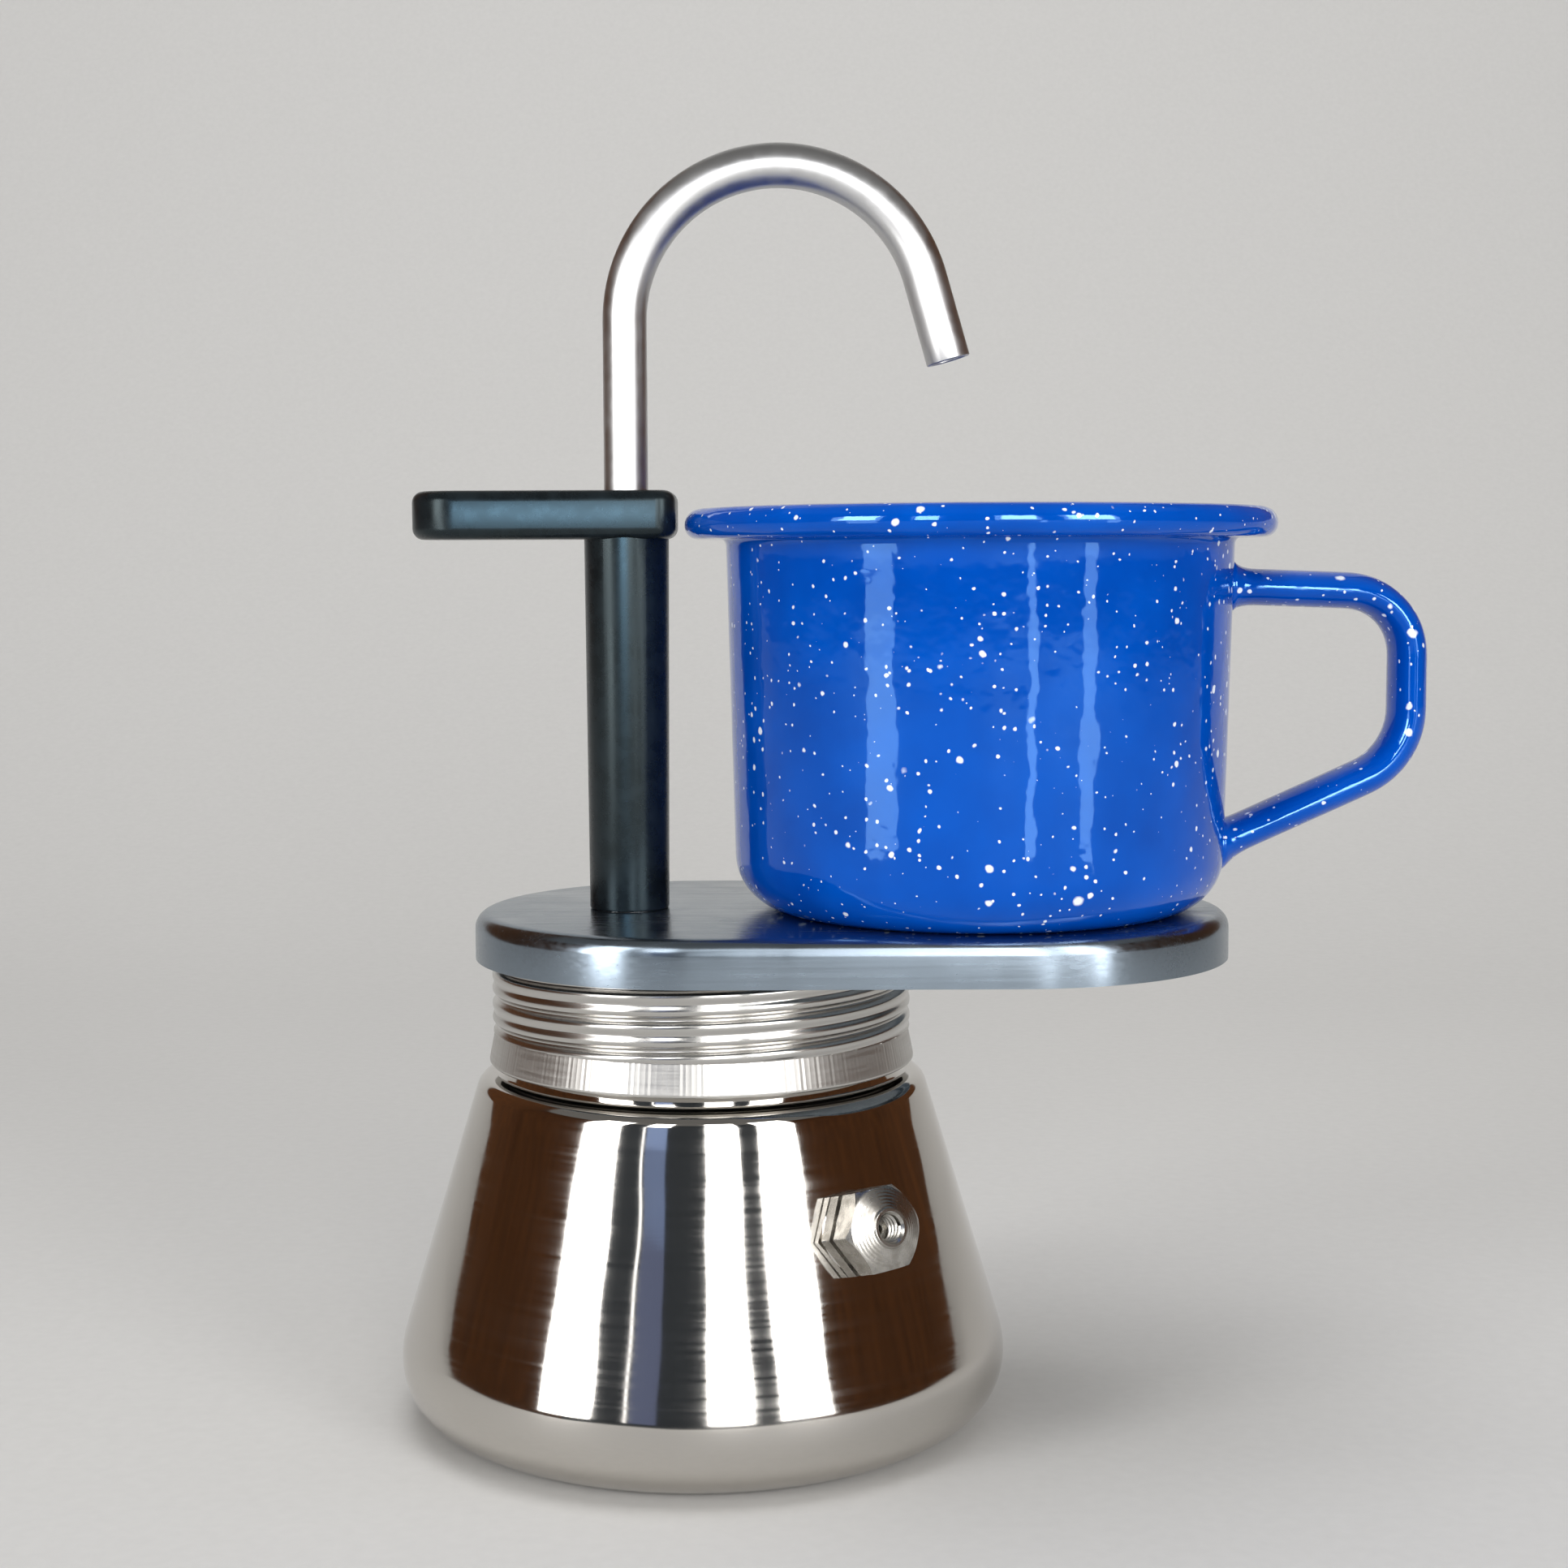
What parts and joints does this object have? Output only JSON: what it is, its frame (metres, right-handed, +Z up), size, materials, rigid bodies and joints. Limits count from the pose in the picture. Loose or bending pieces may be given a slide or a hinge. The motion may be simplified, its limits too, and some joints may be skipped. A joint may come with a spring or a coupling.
{
  "type": "stove-top espresso maker",
  "caption": "Conical steel espresso boiler with a screw-on cup tray, gooseneck spout, black thumb-plate handle, safety valve and a speckled blue enamel cup that catches the coffee.",
  "frame": {"origin": "centre of the boiler's flat bottom, on the surface that it stands on", "axes": "+Z up along the boiler's axis, +X along the tray towards the cup, -Y towards the valve's side"},
  "size_m": [0.1293, 0.0764, 0.1596],
  "materials": {
    "polished_steel": "stainless sheet, spun and polished to a mirror",
    "pressed_steel": "stainless sheet, pressed, fine polish",
    "drawn_steel": "drawn stainless tube, satin",
    "turned_steel": "turned from hexagonal bar, tool marks left",
    "spring_steel": "drawn wire, bright",
    "silicone": "moulded silicone, matt",
    "black_plastic": "moulded heat-proof plastic, half gloss",
    "blue_enamel": "glossy vitreous enamel with white specks on pressed steel"
  },
  "bodies": {
    "boiler": {"boiler_shell": "polished_steel", "valve_body": "turned_steel", "valve_gasket": "silicone", "valve_washer": "turned_steel", "valve_nut": "turned_steel", "valve_adjuster": "turned_steel", "valve_spring": "spring_steel"},
    "poppet": {"valve_poppet": "turned_steel"},
    "funnel": {"funnel_cup": "pressed_steel", "funnel_stem": "drawn_steel", "funnel_sieve": "pressed_steel"},
    "top": {"collar": "polished_steel", "seal_ring": "silicone", "filter_plate": "pressed_steel", "cup_tray": "pressed_steel", "spout_bush": "drawn_steel", "spout_tube": "drawn_steel", "handle_grip": "black_plastic"},
    "cup": {"cup_body": "blue_enamel", "cup_handle": "blue_enamel"}
  },
  "joints": [
    {"name": "top_turn", "type": "hinge", "parent": "boiler", "child": "funnel", "pos_m": [0, 0, 0], "axis": [0, 0, 1], "range_deg": [0, 810]},
    {"name": "top_rise", "type": "slide", "parent": "funnel", "child": "top", "axis": [0, 0, 1], "range_m": [0, 0.00822]},
    {"name": "cup_slide", "type": "slide", "parent": "top", "child": "cup", "axis": [1, 0, 0], "range_m": [0, 0.085]},
    {"name": "valve_lift", "type": "slide", "parent": "boiler", "child": "poppet", "axis": [0.5637, -0.7731, 0.2908], "range_m": [0, 0.0008], "stiffness_N_per_m": 500, "deforming": ["valve_spring"]}
  ],
  "couplings": [
    {"joint": "top_rise", "follows": "top_turn", "m_per_rad": 0.00058092}
  ]
}
